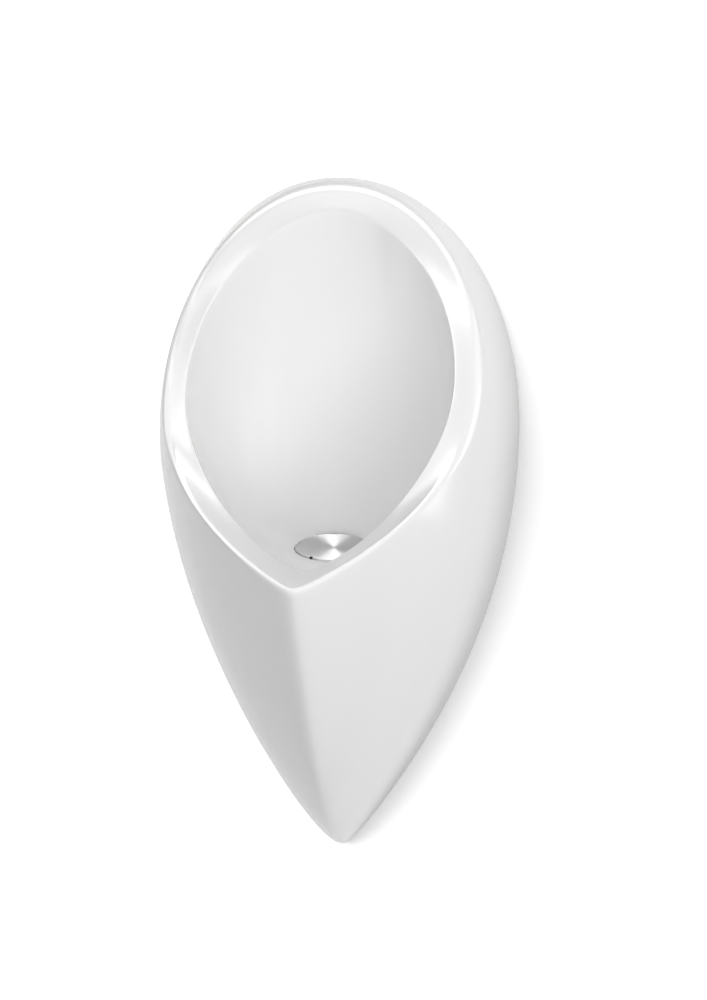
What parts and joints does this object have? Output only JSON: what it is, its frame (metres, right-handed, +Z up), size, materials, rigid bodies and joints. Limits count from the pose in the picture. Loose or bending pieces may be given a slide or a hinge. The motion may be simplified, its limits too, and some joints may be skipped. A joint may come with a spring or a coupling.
{
  "type": "wall hung urinal",
  "caption": "Wall hung pointed oval urinal bowl with a deep basin, a lift-out drain cover and trap, a bend to the waste pipe, hanging brackets and wall fixings.",
  "frame": {"origin": "centre of the rectangle of the four wall fixings, on the wall plane", "axes": "+X to the right as seen by a user, +Y into the wall, +Z up"},
  "size_m": [0.3424, 0.3928, 0.6907],
  "materials": {
    "china": "gloss white glaze",
    "stainless": "turned",
    "zinc_steel": "zinc plated",
    "cup_plastic": "moulded, light grey",
    "insert_plastic": "moulded, dark blue-grey",
    "waste_plastic": "white polypropylene",
    "nylon": "natural nylon",
    "rubber": "black",
    "foam": "light grey closed cell foam"
  },
  "bodies": {
    "urinal": {"bowl": "china", "wall_seal": "foam", "fixing_screws": "zinc_steel", "fixing_washers": "zinc_steel", "hanger_bracket": "zinc_steel", "lower_bracket_left": "zinc_steel", "lower_bracket_right": "zinc_steel", "hook_pads": "nylon", "trap_cup": "cup_plastic", "cup_gasket": "rubber", "clamp_gasket": "rubber", "clamp_washer": "nylon", "back_nut": "cup_plastic", "outlet_elbow": "waste_plastic", "elbow_cone_seal": "rubber", "elbow_nut": "waste_plastic", "pipe_cone_seal": "rubber", "pipe_nut": "waste_plastic", "outlet_pipe": "waste_plastic", "wall_sleeve": "rubber", "cleanout_plug": "waste_plastic", "cleanout_o_ring": "rubber"},
    "insert": {"trap_insert": "insert_plastic", "insert_o_ring": "rubber"},
    "cover": {"drain_cover": "stainless", "cover_stem": "insert_plastic"}
  },
  "joints": [
    {"name": "insert_lift", "type": "slide", "parent": "urinal", "child": "insert", "axis": [0, 0, 1], "range_m": [0, 0.15]},
    {"name": "cover_lift", "type": "slide", "parent": "insert", "child": "cover", "axis": [0, 0, 1], "range_m": [0, 0.05]}
  ]
}
